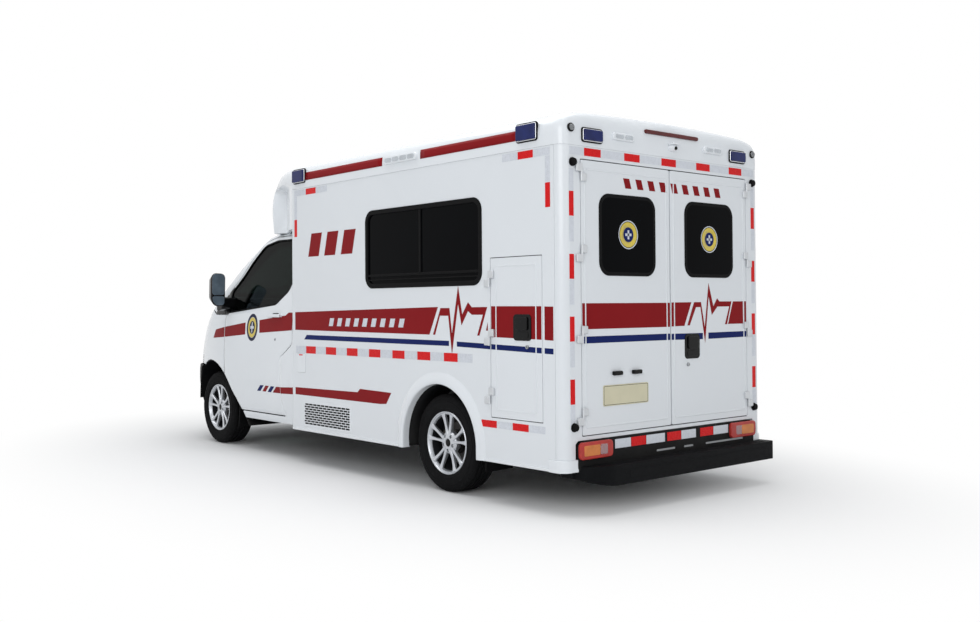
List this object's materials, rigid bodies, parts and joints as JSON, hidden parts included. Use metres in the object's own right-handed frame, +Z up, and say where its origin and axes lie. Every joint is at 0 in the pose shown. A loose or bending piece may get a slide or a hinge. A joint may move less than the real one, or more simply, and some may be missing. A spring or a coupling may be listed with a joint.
{
  "type": "box-body ambulance",
  "caption": "White box-body ambulance on a light van cab, with hinged cab, side, rear and locker doors, steered front wheels, roof-edge blue lamps and a rear step bumper.",
  "frame": {"origin": "on the ground, under the middle of the bounding box", "axes": "+X towards the cab and its nose, +Y to the left, +Z up"},
  "size_m": [6.186, 2.4794, 2.6399],
  "materials": {
    "body_paint": "white clearcoat paint",
    "black_trim": "grained black plastic",
    "black_plastic": "moulded black plastic",
    "lamp_lens": "clear lamp lens",
    "blue_lens": "blue lamp lens",
    "red_lens": "red and amber lamp lens",
    "cab_glass": "green tinted safety glass",
    "dark_glass": "privacy glass",
    "cab_trim": "soft grained plastic",
    "seat_cloth": "woven seat cloth",
    "floor_board": "grey floor covering",
    "step_rubber": "black moulded rubber",
    "chassis_black": "satin black paint",
    "spring_steel": "dark spring steel",
    "cast_iron": "cast iron",
    "engine_metal": "cast metal",
    "exhaust_steel": "heat-stained steel",
    "tyre": "black tyre rubber",
    "alloy": "silver painted alloy"
  },
  "bodies": {
    "body": {"cab_shell": "body_paint", "front_bumper": "black_trim", "grille": "black_trim", "headlamps": "lamp_lens", "windscreen": "cab_glass", "dashboard": "cab_trim", "cab_seats": "seat_cloth", "left_wall": "body_paint", "right_wall": "body_paint", "front_wall": "body_paint", "roof": "body_paint", "rear_frame": "body_paint", "box_floor": "floor_board", "side_windows": "dark_glass", "rear_step": "step_rubber", "beacons": "blue_lens", "tail_lamps": "red_lens", "chassis_rails": "chassis_black", "crossmembers": "chassis_black", "rear_axle": "chassis_black", "leaf_springs": "spring_steel", "front_suspension": "chassis_black", "engine": "engine_metal", "exhaust": "exhaust_steel", "fuel_tank": "black_plastic"},
    "hood": {"bonnet": "body_paint"},
    "cab_door_l": {"cab_door_left": "body_paint", "cab_door_glass_left": "cab_glass"},
    "cab_door_r": {"cab_door_right": "body_paint", "cab_door_glass_right": "cab_glass"},
    "rear_door_l": {"rear_door_left": "body_paint", "rear_door_glass_left": "dark_glass"},
    "rear_door_r": {"rear_door_right": "body_paint", "rear_door_glass_right": "dark_glass"},
    "entry_door": {"side_door": "body_paint", "side_door_glass": "dark_glass"},
    "locker": {"locker_door": "body_paint"},
    "steer_l": {"knuckle_left": "cast_iron"},
    "steer_r": {"knuckle_right": "cast_iron"},
    "wheel_fl": {"front_tyre_left": "tyre", "front_rim_left": "alloy"},
    "wheel_fr": {"front_tyre_right": "tyre", "front_rim_right": "alloy"},
    "wheel_rl": {"rear_tyre_left": "tyre", "rear_rim_left": "alloy"},
    "wheel_rr": {"rear_tyre_right": "tyre", "rear_rim_right": "alloy"}
  },
  "joints": [
    {"name": "steer_left", "type": "hinge", "parent": "body", "child": "steer_l", "pos_m": [2.075, 0.79, 0.356], "axis": [0, 0, 1], "range_deg": [-33, 33]},
    {"name": "steer_right", "type": "hinge", "parent": "body", "child": "steer_r", "pos_m": [2.075, -0.79, 0.356], "axis": [0, 0, 1], "range_deg": [-33, 33]},
    {"name": "front_wheel_left_spin", "type": "hinge", "parent": "steer_l", "child": "wheel_fl", "pos_m": [2.075, 0.86, 0.356], "axis": [0, 1, 0], "continuous": true},
    {"name": "front_wheel_right_spin", "type": "hinge", "parent": "steer_r", "child": "wheel_fr", "pos_m": [2.075, -0.86, 0.356], "axis": [0, 1, 0], "continuous": true},
    {"name": "rear_wheel_left_spin", "type": "hinge", "parent": "body", "child": "wheel_rl", "pos_m": [-1.675, 0.9, 0.356], "axis": [0, 1, 0], "continuous": true},
    {"name": "rear_wheel_right_spin", "type": "hinge", "parent": "body", "child": "wheel_rr", "pos_m": [-1.675, -0.9, 0.356], "axis": [0, 1, 0], "continuous": true},
    {"name": "cab_door_left_hinge", "type": "hinge", "parent": "body", "child": "cab_door_l", "pos_m": [1.79, 1.035, 0.95], "axis": [0, 0, -1], "range_deg": [0, 68]},
    {"name": "cab_door_right_hinge", "type": "hinge", "parent": "body", "child": "cab_door_r", "pos_m": [1.79, -1.035, 0.95], "axis": [0, 0, 1], "range_deg": [0, 68]},
    {"name": "bonnet_hinge", "type": "hinge", "parent": "body", "child": "hood", "pos_m": [2.335, 0, 1.424], "axis": [0, -1, 0], "range_deg": [0, 52]},
    {"name": "rear_door_left_hinge", "type": "hinge", "parent": "body", "child": "rear_door_l", "pos_m": [-2.975, 0.905, 1.4], "axis": [0, 0, -1], "range_deg": [0, 175]},
    {"name": "rear_door_right_hinge", "type": "hinge", "parent": "body", "child": "rear_door_r", "pos_m": [-2.975, -0.905, 1.4], "axis": [0, 0, 1], "range_deg": [0, 175]},
    {"name": "side_door_hinge", "type": "hinge", "parent": "body", "child": "entry_door", "pos_m": [0.229, -1.075, 1.3], "axis": [0, 0, 1], "range_deg": [0, 92]},
    {"name": "locker_door_hinge", "type": "hinge", "parent": "body", "child": "locker", "pos_m": [-2.254, 1.075, 1.14], "axis": [0, 0, -1], "range_deg": [0, 95]}
  ],
  "couplings": [
    {"joint": "steer_right", "follows": "steer_left", "ratio": 1}
  ]
}
